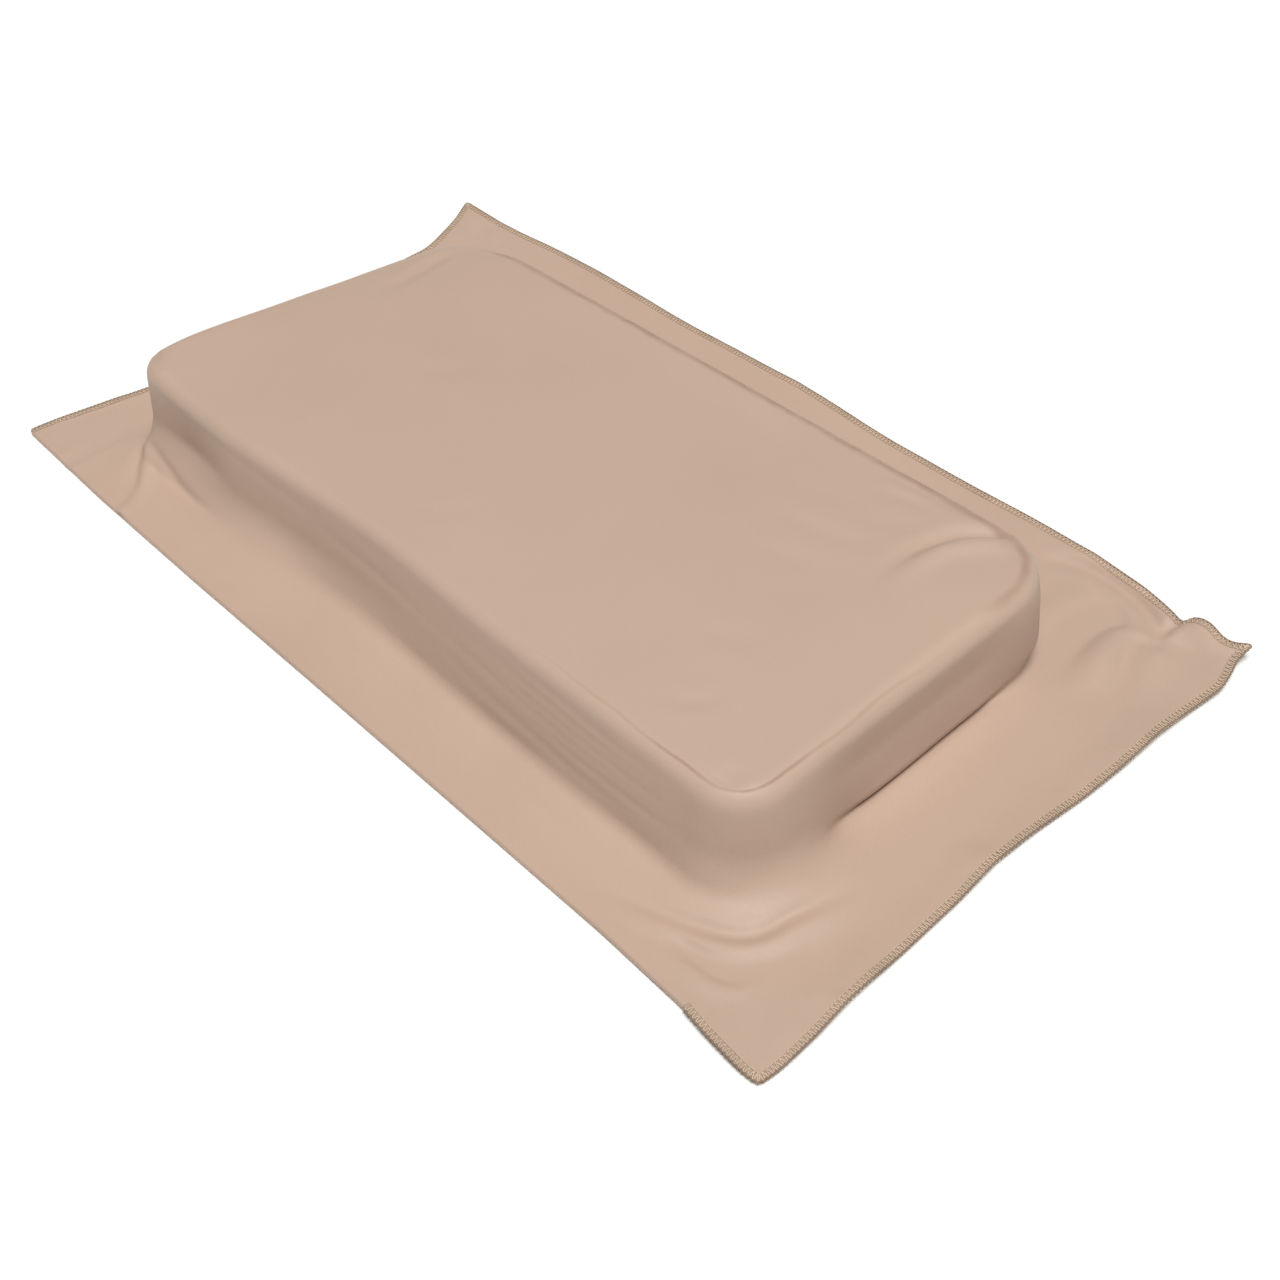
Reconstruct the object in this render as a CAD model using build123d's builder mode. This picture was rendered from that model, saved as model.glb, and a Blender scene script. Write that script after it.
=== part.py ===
"""Rectangular face cradle cushion: a foam block between two sheets of cover cloth that are joined at the edge.

The cloth runs on past the block as a wide, flat flange. The top sheet is one piece, drawn over the block.
The underside is two panels with a coil zip between them, set in a raised channel under the block's front edge.
X is along the cushion, -Y is its front, Z is up, and the origin is the middle of the surface it lies on.
All sizes are in millimetres.
"""

import os

from build123d import *

os.makedirs("parts", exist_ok=True)

# Cover cloth
sheet_length = 650.0
sheet_width = 360.0
sheet_corner_radius = 5.0
top_cloth = 1.2
underside_cloth = 1.0
flange_thickness = top_cloth + underside_cloth

# Raised pad, measured over the cloth. It stands a little off the sheet's centre.
pad_length = 498.0
pad_width = 232.0
pad_height = 60.0
pad_x = 6.0
pad_y = -5.0
pad_corner_radius = 28.0
pad_top_radius = 15.0
pad_base_radius = 12.0

# Foam core
core_gap = 0.3
comfort_foam_thickness = 24.0
core_length = pad_length - 2 * (top_cloth + core_gap)
core_width = pad_width - 2 * (top_cloth + core_gap)
core_corner_radius = pad_corner_radius - top_cloth - core_gap
core_top = pad_height - top_cloth - core_gap
foam_joint_height = core_top - comfort_foam_thickness

# Overlocked edge: looper threads wrap it, and a needle thread runs along their inner side.
overlock_width = 3.5
overlock_thread = 0.4
overlock_front_run = 52.0
needle_thread_width = 0.7
needle_thread_height = 0.3

# Zip channel, pressed up into the underside so that the slider never touches the table.
pad_front = pad_y - pad_width / 2
zip_x = pad_x
zip_y = pad_front + 18.0
channel_rise = 4.5
channel_run = 5.0
channel_top_length = 472.0
channel_top_width = 28.0
core_rebate_depth = 40.0
core_rebate_height = 9.0

# Coil zip
chain_length = 420.0
slit_length = chain_length + 8.0
slit_width = 8.2
tape_length = chain_length + 32.0
tape_thickness = 0.5
tape_reach = 13.5
chain_gap = 1.2
coil_width = 1.9
coil_height = 1.6
stop_length = 2.2
stop_clearance = 0.5
tape_level = channel_rise + underside_cloth
coil_level = tape_level - coil_height
zip_thread_offset = 8.5
zip_thread_size = 0.5

# Slider and pull tab
slider_length = 9.5
slider_width = 7.4
plate_thickness = 0.9
slider_clearance = 0.3
slider_corner_radius = 1.6
slider_wall = 0.6
post_length = 2.4
post_width = 0.8
crown_length = 6.0
crown_width = 1.8
crown_wall = 0.5
pin_radius = 0.4
pin_play = 0.1
tab_thickness = 0.8
tab_ring_inside = 2.4
tab_ring_outside = 4.0
tab_ring_length = 5.5
tab_length = 23.5
tab_width = 6.0

slider_rest_x = zip_x + chain_length / 2 - slider_length / 2 - stop_clearance
outer_plate_level = coil_level - slider_clearance - plate_thickness
inner_plate_level = tape_level + tape_thickness + slider_clearance
pin_x = slider_rest_x - 1.2
pin_level = outer_plate_level - 1.0
crown_level = pin_level - pin_radius - pin_play - crown_wall


def write(part, name):
    part.label = name
    export_step(part, f"parts/{name}.step")


def pad_block(length, width, top, corner_radius, top_radius):
    """A block in the pad's place, from z 0 up, with rounded corners and a rounded top edge."""
    with BuildPart() as block:
        with BuildSketch(Plane((pad_x, pad_y, 0))):
            RectangleRounded(length, width, corner_radius)
        extrude(amount=top)
        fillet(block.faces().sort_by(Axis.Z)[-1].edges(), top_radius)
    return block.part


def pad_foot_edges(builder, level):
    """The edges where the pad's walls meet a flat sheet at this level."""
    at_level = builder.edges().filter_by_position(Axis.Z, level - 0.01, level + 0.01)
    in_length = at_level.filter_by_position(Axis.X, -sheet_length / 2 + 20, sheet_length / 2 - 20)
    return in_length.filter_by_position(Axis.Y, -sheet_width / 2 + 20, sheet_width / 2 - 20)


# --- Overlock threads, made first because both sheets are nipped in under them ---------------------------------

# The looper threads wrap the left, back and right edges, turn the front right corner and run on a little.
with BuildPart() as overlock_looper_thread:
    with BuildSketch():
        RectangleRounded(sheet_length, sheet_width, sheet_corner_radius)
        offset(amount=-overlock_width, mode=Mode.SUBTRACT)
    extrude(amount=flange_thickness + overlock_thread)
    with BuildSketch(Plane.XY.offset(overlock_thread)):
        RectangleRounded(
            sheet_length - 2 * overlock_thread,
            sheet_width - 2 * overlock_thread,
            sheet_corner_radius - overlock_thread,
        )
    extrude(amount=flange_thickness - overlock_thread, mode=Mode.SUBTRACT)
    # The front edge is a turned seam with no overlock, up to the run round the right corner.
    plain_front_length = sheet_length - overlock_front_run
    plain_front_start = (-sheet_length / 2 - overlock_width, -sheet_width / 2, 0)
    with Locations(plain_front_start):
        Box(
            plain_front_length + overlock_width,
            2 * overlock_width,
            3 * flange_thickness,
            align=(Align.MIN, Align.CENTER, Align.CENTER),
            mode=Mode.SUBTRACT,
        )
write(overlock_looper_thread.part, "overlock_looper_thread")

# The needle thread lies on the top sheet, just inside the looper threads.
with BuildPart() as overlock_needle_thread:
    with BuildSketch(Plane.XY.offset(flange_thickness)):
        inset = 2 * overlock_width
        RectangleRounded(sheet_length - inset, sheet_width - inset, sheet_corner_radius)
        offset(amount=-needle_thread_width, mode=Mode.SUBTRACT)
    extrude(amount=needle_thread_height)
    with Locations((-sheet_length / 2, -sheet_width / 2 + overlock_width, flange_thickness)):
        Box(
            plain_front_length,
            2 * overlock_width,
            flange_thickness,
            align=(Align.MIN, Align.CENTER, Align.CENTER),
            mode=Mode.SUBTRACT,
        )
write(overlock_needle_thread.part, "overlock_needle_thread")

# --- Foam core --------------------------------------------------------------------------------------------------

# Firm base, rebated along its lower front edge to clear the zip.
with BuildPart() as support_foam:
    with BuildSketch(Plane((pad_x, pad_y, underside_cloth))):
        RectangleRounded(core_length, core_width, core_corner_radius)
    extrude(amount=foam_joint_height - underside_cloth)
    with Locations((pad_x, pad_front, 0)):
        Box(
            pad_length,
            2 * core_rebate_depth,
            core_rebate_height,
            align=(Align.CENTER, Align.CENTER, Align.MIN),
            mode=Mode.SUBTRACT,
        )
write(support_foam.part, "support_foam")

# Soft top layer with a rounded upper edge.
with BuildPart() as comfort_foam:
    with BuildSketch(Plane((pad_x, pad_y, foam_joint_height))):
        RectangleRounded(core_length, core_width, core_corner_radius)
    extrude(amount=comfort_foam_thickness)
    fillet(faces().sort_by(Axis.Z)[-1].edges(), pad_top_radius - top_cloth)
write(comfort_foam.part, "comfort_foam")

# --- Cover ------------------------------------------------------------------------------------------------------

# What the top sheet leaves free below it: the pad less the cloth, flaring out at its foot.
with BuildPart() as under_top_sheet:
    add(
        pad_block(
            pad_length - 2 * top_cloth,
            pad_width - 2 * top_cloth,
            pad_height - top_cloth,
            pad_corner_radius - top_cloth,
            pad_top_radius - top_cloth,
        )
    )
    with BuildSketch(Plane.XY.offset(underside_cloth)):
        Rectangle(sheet_length, sheet_width)
    extrude(amount=-3 * flange_thickness)
    fillet(pad_foot_edges(under_top_sheet, underside_cloth), pad_base_radius + top_cloth)

# One piece of cloth: the flange, the walls and the top of the pad.
with BuildPart() as top_sheet:
    add(pad_block(pad_length, pad_width, pad_height, pad_corner_radius, pad_top_radius))
    with BuildSketch():
        RectangleRounded(sheet_length, sheet_width, sheet_corner_radius)
    extrude(amount=flange_thickness)
    fillet(pad_foot_edges(top_sheet, flange_thickness), pad_base_radius)
    add(under_top_sheet.part, mode=Mode.SUBTRACT)
    add(overlock_looper_thread.part, mode=Mode.SUBTRACT)
write(top_sheet.part, "top_sheet")


def underside_panel(name, keep):
    """One of the two underside panels: the whole underside with its zip channel and slit, cut along the zip."""
    with BuildPart() as panel:
        with BuildSketch():
            RectangleRounded(sheet_length, sheet_width, sheet_corner_radius)
        extrude(amount=underside_cloth)
        for level, mode in ((underside_cloth, Mode.ADD), (0, Mode.SUBTRACT)):
            with BuildSketch(Plane((zip_x, zip_y, level))):
                Rectangle(channel_top_length + 2 * channel_run, channel_top_width + 2 * channel_run)
            with BuildSketch(Plane((zip_x, zip_y, level + channel_rise))):
                Rectangle(channel_top_length, channel_top_width)
            loft(mode=mode)
        with Locations((zip_x, zip_y, channel_rise)):
            Box(slit_length, slit_width, 4 * underside_cloth, mode=Mode.SUBTRACT)
        add(overlock_looper_thread.part, mode=Mode.SUBTRACT)
        split(bisect_by=Plane((0, zip_y, 0), z_dir=(0, 1, 0)), keep=keep)
    write(panel.part, name)


underside_panel("underside_rear_panel", Keep.TOP)
underside_panel("underside_front_panel", Keep.BOTTOM)

# --- Zip --------------------------------------------------------------------------------------------------------


def zip_row(side):
    """Places the centre of one side of the zip: -1 is the front side, 1 the rear side."""
    return {-1: "front", 1: "rear"}[side]


for side in (-1, 1):
    towards_chain = Align.MIN if side > 0 else Align.MAX
    chain_edge = zip_y + side * chain_gap / 2

    # Woven tape, lying on the raised hem of its panel.
    with BuildPart() as zip_tape:
        with Locations((zip_x, chain_edge, tape_level)):
            Box(
                tape_length,
                tape_reach - chain_gap / 2,
                tape_thickness,
                align=(Align.CENTER, towards_chain, Align.MIN),
            )
    write(zip_tape.part, f"zip_tape_{zip_row(side)}")

    # The coil's outer shape, along the tape's edge and facing down.
    with BuildPart() as zip_coil:
        with Locations((zip_x, chain_edge, coil_level)):
            Box(
                chain_length,
                coil_width,
                coil_height,
                align=(Align.CENTER, towards_chain, Align.MIN),
            )
        fillet(edges().filter_by(Axis.X).group_by(Axis.Z)[0], coil_width / 4)
    write(zip_coil.part, f"zip_coil_{zip_row(side)}")


def stop_clip(x_start, y_low, y_high, align_x):
    """Adds a clip beyond an end of the coils, folded round the tape's edge."""
    with Locations((x_start, (y_low + y_high) / 2, coil_level)):
        Box(
            stop_length,
            y_high - y_low,
            coil_height + 2 * tape_thickness,
            align=(align_x, Align.CENTER, Align.MIN),
        )


def cut_tapes():
    """Clears both tapes out of the clips."""
    for side in (-1, 1):
        with Locations((zip_x, zip_y + side * chain_gap / 2, tape_level)):
            Box(
                tape_length,
                tape_reach,
                tape_thickness,
                align=(Align.CENTER, Align.MIN if side > 0 else Align.MAX, Align.MIN),
                mode=Mode.SUBTRACT,
            )


# Two clips at the closed end, one on each row.
with BuildPart() as zip_top_stops:
    for side in (-1, 1):
        # The clip's inner wall runs down past the tape's edge, in the gap between the rows.
        inner = zip_y + side * (chain_gap / 2 - 0.3)
        outer = zip_y + side * (chain_gap / 2 + coil_width)
        stop_clip(zip_x + chain_length / 2, min(inner, outer), max(inner, outer), Align.MIN)
    cut_tapes()
write(zip_top_stops.part, "zip_top_stops")

# One clip at the open end, across both rows.
with BuildPart() as zip_bottom_stop:
    reach = chain_gap / 2 + coil_width
    stop_clip(zip_x - chain_length / 2, zip_y - reach, zip_y + reach, Align.MAX)
    cut_tapes()
write(zip_bottom_stop.part, "zip_bottom_stop")

# Lockstitch rows that hold each tape to its hem: one line of thread above and one below on each side.
with BuildPart() as zip_stitching:
    for side in (-1, 1):
        for level, align_z in ((tape_level + tape_thickness, Align.MIN), (channel_rise, Align.MAX)):
            with Locations((zip_x, zip_y + side * zip_thread_offset, level)):
                Box(
                    tape_length,
                    zip_thread_size,
                    zip_thread_size / 2,
                    align=(Align.CENTER, Align.CENTER, align_z),
                )
write(zip_stitching.part, "zip_stitching")

# Slider: two plates joined by a post that runs between the rows, with side walls round the coils and a crown
# below for the pull tab.
with BuildPart() as zip_slider:
    for level in (outer_plate_level, inner_plate_level):
        with BuildSketch(Plane((slider_rest_x, zip_y, level))):
            RectangleRounded(slider_length, slider_width, slider_corner_radius)
        extrude(amount=plate_thickness)
    # Side walls
    wall_foot = outer_plate_level + plate_thickness
    with BuildSketch(Plane((slider_rest_x, zip_y, wall_foot))):
        with Locations((0, (slider_width - slider_wall) / 2), (0, -(slider_width - slider_wall) / 2)):
            Rectangle(slider_length - 2 * slider_corner_radius, slider_wall)
    extrude(amount=tape_level - slider_clearance - wall_foot)
    # Post
    with Locations((slider_rest_x + slider_length / 2 - slider_corner_radius, zip_y, wall_foot)):
        Box(
            post_length,
            post_width,
            inner_plate_level - wall_foot,
            align=(Align.MAX, Align.CENTER, Align.MIN),
        )
    # Crown, with a slot for the tab's pin
    with Locations((slider_rest_x, zip_y, crown_level)):
        Box(
            crown_length,
            crown_width,
            outer_plate_level - crown_level,
            align=(Align.CENTER, Align.CENTER, Align.MIN),
        )
    fillet(edges().filter_by(Axis.Y).group_by(Axis.Z)[0], crown_wall)
    with BuildSketch(Plane((pin_x, zip_y, pin_level), x_dir=(1, 0, 0), z_dir=(0, -1, 0))):
        SlotOverall(2.6, 2 * (pin_radius + pin_play))
    extrude(amount=crown_width, both=True, mode=Mode.SUBTRACT)
write(zip_slider.part, "zip_slider")

# Pull tab: a ring with a pin through the crown, and a tongue that lies back over the closed chain.
with BuildPart() as zip_pull_tab:
    with BuildSketch(Plane((pin_x, zip_y, pin_level - tab_thickness / 2))):
        with BuildLine():
            neck = tab_ring_outside / 2
            outline = Polyline(
                (0, neck),
                (-tab_ring_length, neck),
                (-tab_length * 0.55, tab_width / 2),
                (-tab_length, tab_width / 2),
                (-tab_length, -tab_width / 2),
                (-tab_length * 0.55, -tab_width / 2),
                (-tab_ring_length, -neck),
                (0, -neck),
                close=True,
            )
        make_face()
        tip = vertices().group_by(Axis.X)[0]
        fillet(tip, tab_width / 3)
        with Locations((-tab_ring_length / 2, 0)):
            Rectangle(tab_ring_length, tab_ring_inside, mode=Mode.SUBTRACT)
    extrude(amount=tab_thickness)
    # Rounded ends of the ring's sides, and the pin between them
    with Locations(Plane((pin_x, zip_y, pin_level), z_dir=(0, 1, 0))):
        Cylinder(pin_radius, tab_ring_outside)
write(zip_pull_tab.part, "zip_pull_tab")
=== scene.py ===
"""Face cradle cushion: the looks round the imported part. All lengths are in metres, in the part's own frame."""

import math

import bpy
import numpy as np
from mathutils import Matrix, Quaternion, Vector


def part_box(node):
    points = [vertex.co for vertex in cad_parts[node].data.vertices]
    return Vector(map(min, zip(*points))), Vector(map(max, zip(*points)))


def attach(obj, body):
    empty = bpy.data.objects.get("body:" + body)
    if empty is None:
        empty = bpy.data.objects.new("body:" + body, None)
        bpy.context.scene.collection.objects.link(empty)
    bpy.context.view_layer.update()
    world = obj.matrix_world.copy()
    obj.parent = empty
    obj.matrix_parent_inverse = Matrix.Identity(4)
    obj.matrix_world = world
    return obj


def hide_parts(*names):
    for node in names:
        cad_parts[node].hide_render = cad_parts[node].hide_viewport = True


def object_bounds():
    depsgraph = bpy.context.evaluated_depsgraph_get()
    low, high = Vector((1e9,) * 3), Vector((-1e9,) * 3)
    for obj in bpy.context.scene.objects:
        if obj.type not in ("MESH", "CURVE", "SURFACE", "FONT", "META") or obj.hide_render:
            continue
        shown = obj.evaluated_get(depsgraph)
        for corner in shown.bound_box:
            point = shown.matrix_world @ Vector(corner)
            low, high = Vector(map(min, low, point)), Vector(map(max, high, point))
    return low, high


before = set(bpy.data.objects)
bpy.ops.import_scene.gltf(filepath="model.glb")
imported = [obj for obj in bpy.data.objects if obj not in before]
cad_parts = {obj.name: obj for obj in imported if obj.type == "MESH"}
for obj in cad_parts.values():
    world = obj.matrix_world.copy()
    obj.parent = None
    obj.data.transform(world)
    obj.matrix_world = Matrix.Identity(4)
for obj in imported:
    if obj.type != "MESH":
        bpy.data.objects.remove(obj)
cad_low, cad_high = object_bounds()
scene = bpy.context.scene
norm = np.linalg.norm
MM = 0.001

# ---- Sizes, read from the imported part. Shapes are worked out in millimetres, and meshes are made in metres.


def box_mm(node):
    """A node's lowest and highest corners."""
    return np.array(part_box(node)) * 1000


half_length, half_width, pad_height = np.array(cad_high) * 1000
top_cloth = 1.2
under_cloth = 1.0
flange_top = top_cloth + under_cloth
comfort_low, comfort_high = box_mm("comfort_foam")
support_low, support_high = box_mm("support_foam")
core_gap = 1.5  # between the foam and the cover's outer face
pad_x, pad_y = ((comfort_low + comfort_high) / 2)[:2]
pad_half_length, pad_half_width = ((comfort_high - comfort_low) / 2)[:2] + core_gap
coil_low, coil_high = box_mm("zip_coil_front")
coil_rear_low = box_mm("zip_coil_rear")[0]
zip_x = (coil_low[0] + coil_high[0]) / 2
zip_y = (coil_high[1] + coil_rear_low[1]) / 2
zip_half = (coil_high[0] - coil_low[0]) / 2


def smooth(value, low, high):
    """0 below low, 1 above high, and a smooth step between."""
    t = np.clip((value - low) / (high - low), 0, 1)
    return t * t * (3 - 2 * t)


def bump(value, centre, width):
    """1 at the centre, and falling softly to 0 at about twice the width."""
    return np.exp(-(((value - centre) / width) ** 2))


# ---- Camera, floor and lights
def make_camera():
    """A camera at the photograph's viewing angle: degrees round from the front, up, and about its own axis."""
    azimuth, elevation, roll = math.radians(50.5), math.radians(43.6), math.radians(-4.7)
    target = Vector((0.093, -0.0358, 0.0))
    distance = 0.9295
    level = math.cos(elevation)
    back = Vector((math.sin(azimuth) * level, -math.cos(azimuth) * level, math.sin(elevation)))
    data = bpy.data.cameras.new("camera")
    data.lens = 49.16
    data.clip_start = 0.01
    data.clip_end = 50
    camera = bpy.data.objects.new("camera", data)
    scene.collection.objects.link(camera)
    camera.location = target + back * distance
    camera.rotation_mode = "QUATERNION"
    camera.rotation_quaternion = (-back).to_track_quat("-Z", "Y") @ Quaternion((0, 0, 1), roll)
    scene.camera = camera


make_camera()


def sun(name, direction, strength, degrees_wide, colour):
    data = bpy.data.lights.new(name, "SUN")
    data.energy = strength
    data.angle = math.radians(degrees_wide)
    data.color = colour
    light = bpy.data.objects.new(name, data)
    scene.collection.objects.link(light)
    light.rotation_mode = "QUATERNION"
    light.rotation_quaternion = (-Vector(direction)).to_track_quat("-Z", "Y")


sun("key", direction=(0.23, -0.10, 0.969), strength=3.3, degrees_wide=30, colour=(1.0, 0.99, 0.975))

world = bpy.data.worlds.new("studio")
scene.world = world
world.use_nodes = True
background = world.node_tree.nodes["Background"]
background.inputs["Color"].default_value = (1.0, 0.995, 0.985, 1)


def horizon_glow():
    """The room lights the cushion palest from low down and more dimly from overhead, and looks plain white."""
    low, high = 0.02, 0.32  # the sine of the height above the horizon
    pale, dim = 0.50, 0.15  # the strength of the light from below low and from above high
    new, link = world.node_tree.nodes.new, world.node_tree.links.new
    split = new("ShaderNodeSeparateXYZ")
    link(new("ShaderNodeTexCoord").outputs["Generated"], split.inputs[0])
    level = new("ShaderNodeMapRange")
    level.interpolation_type = "SMOOTHSTEP"
    for key, value in (("From Min", low), ("From Max", high), ("To Min", pale), ("To Max", dim)):
        level.inputs[key].default_value = value
    link(split.outputs["Z"], level.inputs["Value"])
    seen = new("ShaderNodeMath")
    seen.operation = "MAXIMUM"
    link(level.outputs["Result"], seen.inputs[0])
    link(new("ShaderNodeLightPath").outputs["Is Camera Ray"], seen.inputs[1])
    link(seen.outputs[0], background.inputs["Strength"])


horizon_glow()
scene.view_settings.view_transform = "Standard"

# ---- Materials. The scale of a noise, cell or wave texture is in repeats to the metre.


def shade(tone, by):
    return tuple(c * by for c in tone)


class Nodes:
    """Builds a material's node tree."""

    def __init__(self, name):
        self.material = bpy.data.materials.new(name)
        self.material.use_nodes = True
        self.tree = self.material.node_tree
        self.shader = self.tree.nodes["Principled BSDF"]
        self.position = self.add("TexCoord").outputs["Object"]

    def add(self, kind, **values):
        node = self.tree.nodes.new("ShaderNode" + kind)
        for key, value in values.items():
            setattr(node, key, value)
        return node

    def put(self, socket, value):
        if isinstance(value, bpy.types.NodeSocket):
            self.tree.links.new(value, socket)
        elif socket.type == "RGBA":
            socket.default_value = (*value, 1)
        else:
            socket.default_value = value

    def texture(self, kind, output, at=None, settings=(), **sockets):
        node = self.add(kind, **dict(settings))
        self.put(node.inputs["Vector"], at or self.position)
        for key, value in sockets.items():
            self.put(node.inputs[key], value)
        return node.outputs[output]

    def noise(self, scale, detail=2.0, roughness=0.5, at=None):
        return self.texture("TexNoise", "Fac", at, Scale=scale, Detail=detail, Roughness=roughness)

    def cells(self, scale, feature="DISTANCE_TO_EDGE"):
        return self.texture("TexVoronoi", "Distance", settings={"feature": feature}, Scale=scale)

    def wave(self, scale, direction):
        return self.texture("TexWave", "Fac", settings={"bands_direction": direction}, Scale=scale)

    def span(self, value, low, high, to_low=0.0, to_high=1.0):
        """Carries low..high on to to_low..to_high, and holds the ends."""
        node = self.add("MapRange")
        keys = ("Value", "From Min", "From Max", "To Min", "To Max")
        for key, given in zip(keys, (value, low, high, to_low, to_high)):
            self.put(node.inputs[key], given)
        return node.outputs["Result"]

    def math(self, operation, a, b=0.5):
        node = self.add("Math", operation=operation)
        self.put(node.inputs[0], a)
        self.put(node.inputs[1], b)
        return node.outputs[0]

    def mix(self, factor, a, b):
        node = self.add("Mix", data_type="RGBA")
        colour_a, colour_b, colour_out = 6, 7, 2  # a mix node's sockets for colours
        self.put(node.inputs["Factor"], factor)
        self.put(node.inputs[colour_a], a)
        self.put(node.inputs[colour_b], b)
        return node.outputs[colour_out]

    def clouded(self, cloud, tone, dark, pale):
        """The tone, varied softly by a noise."""
        return self.mix(self.span(cloud, 0.3, 0.7), shade(tone, dark), shade(tone, pale))

    def stored(self, name):
        """A number kept at the mesh's points, by store() below."""
        return self.add("Attribute", attribute_name=name).outputs["Fac"]

    def stretch(self, x, y, z):
        node = self.add("VectorMath", operation="MULTIPLY")
        self.put(node.inputs[0], self.position)
        self.put(node.inputs[1], (x, y, z))
        return node.outputs[0]

    def relief(self, layers):
        """Bump layers, each (height, depth in metres, strength), one on another."""
        normal = None
        for height, depth, strength in layers:
            node = self.add("Bump")
            self.put(node.inputs["Height"], height)
            self.put(node.inputs["Distance"], depth)
            self.put(node.inputs["Strength"], strength)
            if normal is not None:
                self.put(node.inputs["Normal"], normal)
            normal = node.outputs["Normal"]
        self.put(self.shader.inputs["Normal"], normal)

    def set(self, **values):
        names = {
            "color": "Base Color",
            "specular": "Specular IOR Level",
            "sheen": "Sheen Weight",
            "subsurface": "Subsurface Weight",
        }
        for key, value in values.items():
            self.put(self.shader.inputs[names.get(key, key.replace("_", " ").title())], value)


def leatherette(name, tone):
    n = Nodes(name)
    pebbles = n.cells(1150)
    pebbles_fine = n.cells(2300)
    cloud = n.noise(7, 3, 0.55)
    mottle = n.noise(55, 4, 0.6)
    pores = n.noise(900, 2, 0.6)
    base = n.clouded(cloud, tone, 0.965, 1.03)
    base = n.mix(n.span(mottle, 0.35, 0.7, 0.0, 0.10), base, shade(tone, 0.88))
    between_pebbles = n.span(pebbles, 0.0, 0.10, 0.10, 0.0)
    base = n.mix(between_pebbles, base, shade(tone, 0.72))
    # Painted shade in the fine crease along the pad's rim. Its line wanders a little, and comes and goes.
    wandered = n.span(mottle, 0.3, 0.7, -rim_zero - 0.3, -rim_zero + 0.3)
    off_line = n.math("ABSOLUTE", n.math("ADD", n.stored("rim_place"), wandered))
    line = n.math("MULTIPLY", n.span(off_line, 0.2, 1.3, 1.0, 0.0), n.stored("rim_shade_strength"))
    line = n.math("MULTIPLY", line, n.span(n.noise(38, 2), 0.35, 0.6, 0.55, 1.0))
    crease_shade_tone = (tone[0] * 0.55, tone[1] * 0.44, tone[2] * 0.38)
    base = n.mix(n.math("MULTIPLY", line, 0.75), base, crease_shade_tone)
    # Painted shade on the cloth seen between the overlock's threads
    shade_between_threads = n.span(n.stored("hem"), hem_depth - 3.8, hem_depth - 3.2, 0.0, 0.30)
    base = n.mix(shade_between_threads, base, shade(tone, 0.45))
    matte = n.span(n.math("ADD", mottle, pores), 0.7, 1.3, 0.47, 0.57)
    n.set(color=base, roughness=n.math("MAXIMUM", matte, n.math("MULTIPLY", line, 0.95)), specular=0.36)
    fine_grain = n.math("MULTIPLY", n.span(pebbles_fine, 0.0, 0.25), 0.4)
    grain = n.math("ADD", n.span(pebbles, 0.0, 0.22), fine_grain)
    pressed_in = n.math("SUBTRACT", 1.0, line)
    n.relief([(cloud, 0.0006, 0.25), (pressed_in, 0.0004, 0.5), (grain, 0.00006, 0.5), (pores, 0.00002, 0.4)])
    return n.material


# Stored numbers: rim_place is rim_zero on the crease's line, and hem falls from hem_depth at the overlock.
rim_zero = 100
hem_depth = 10
tan = (0.500, 0.363, 0.281)
cover_material = leatherette("cover_leatherette", tan)


def plain_floor():
    n = Nodes("studio_floor")
    n.set(color=(0.88, 0.88, 0.877), roughness=0.9, specular=0.1)
    just_below = -0.0002
    bpy.ops.mesh.primitive_plane_add(size=60, location=(0, 0, just_below))
    floor = bpy.context.object
    floor.name = "studio_floor"
    floor.data.materials.append(n.material)


plain_floor()

# ---- The grid that both sheets are made on
# The wall's band: how far it reaches in over the pad's top, and out over the flange
band_in = 34.0
band_out = 47.0
coarse_step = 3.4
fine_step = 1.25


def spaced_lines(low, high, edges, needed):
    """Grid lines from low to high: fine steps from 22 mm inside to 39 mm outside each of the pad's edges, and
    coarse elsewhere, but finer again over the last 14 mm before the border."""
    at, lines = low, [low]
    while at < high:
        beyond = min(max(-(at - edge) * side - 22, (at - edge) * side - 39) for edge, side in edges)
        share = min(max(beyond / 10, 0), 1)
        near_border = min(max((14 - min(at - low, high - at)) / 8, 0), 1)
        at += fine_step + (coarse_step - fine_step) * share * (1 - 0.6 * near_border)
        lines.append(at)
    lines = np.array(lines)
    lines = low + (lines - low) * (high - low) / (lines[-1] - low)
    for value in needed:
        lines[np.argmin(abs(lines - value))] = value
    return lines


slit_half_length = zip_half + 4.0
slit_half_width = 4.1
slit_ends = (zip_x - slit_half_length, zip_x + slit_half_length)
slit_sides = (zip_y - slit_half_width, zip_y, zip_y + slit_half_width)
left_end, right_end = pad_x - pad_half_length, pad_x + pad_half_length
front_end, back_end = pad_y - pad_half_width, pad_y + pad_half_width
x_lines = spaced_lines(-half_length, half_length, [(left_end, -1), (right_end, 1)], slit_ends)
y_lines = spaced_lines(-half_width, half_width, [(front_end, -1), (back_end, 1)], slit_sides)


def flat_grid(x_lines, y_lines):
    grid_x, grid_y = np.meshgrid(x_lines, y_lines, indexing="ij")
    return np.stack([grid_x.ravel(), grid_y.ravel()], axis=1)


# ---- The cover's shape


def curve(table, soften):
    """A function near a table of (place, value), smoothed over about soften millimetres."""
    places, values = np.array(table, float).T
    dense = np.arange(places[0] - 40, places[-1] + 41)
    kernel = np.exp(-((np.arange(-30, 31) / soften) ** 2))
    padded = np.pad(np.interp(dense, places, values), 30, mode="edge")
    soft = np.convolve(padded, kernel / kernel.sum(), mode="valid")
    return lambda at: np.interp(at, dense, soft)


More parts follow.
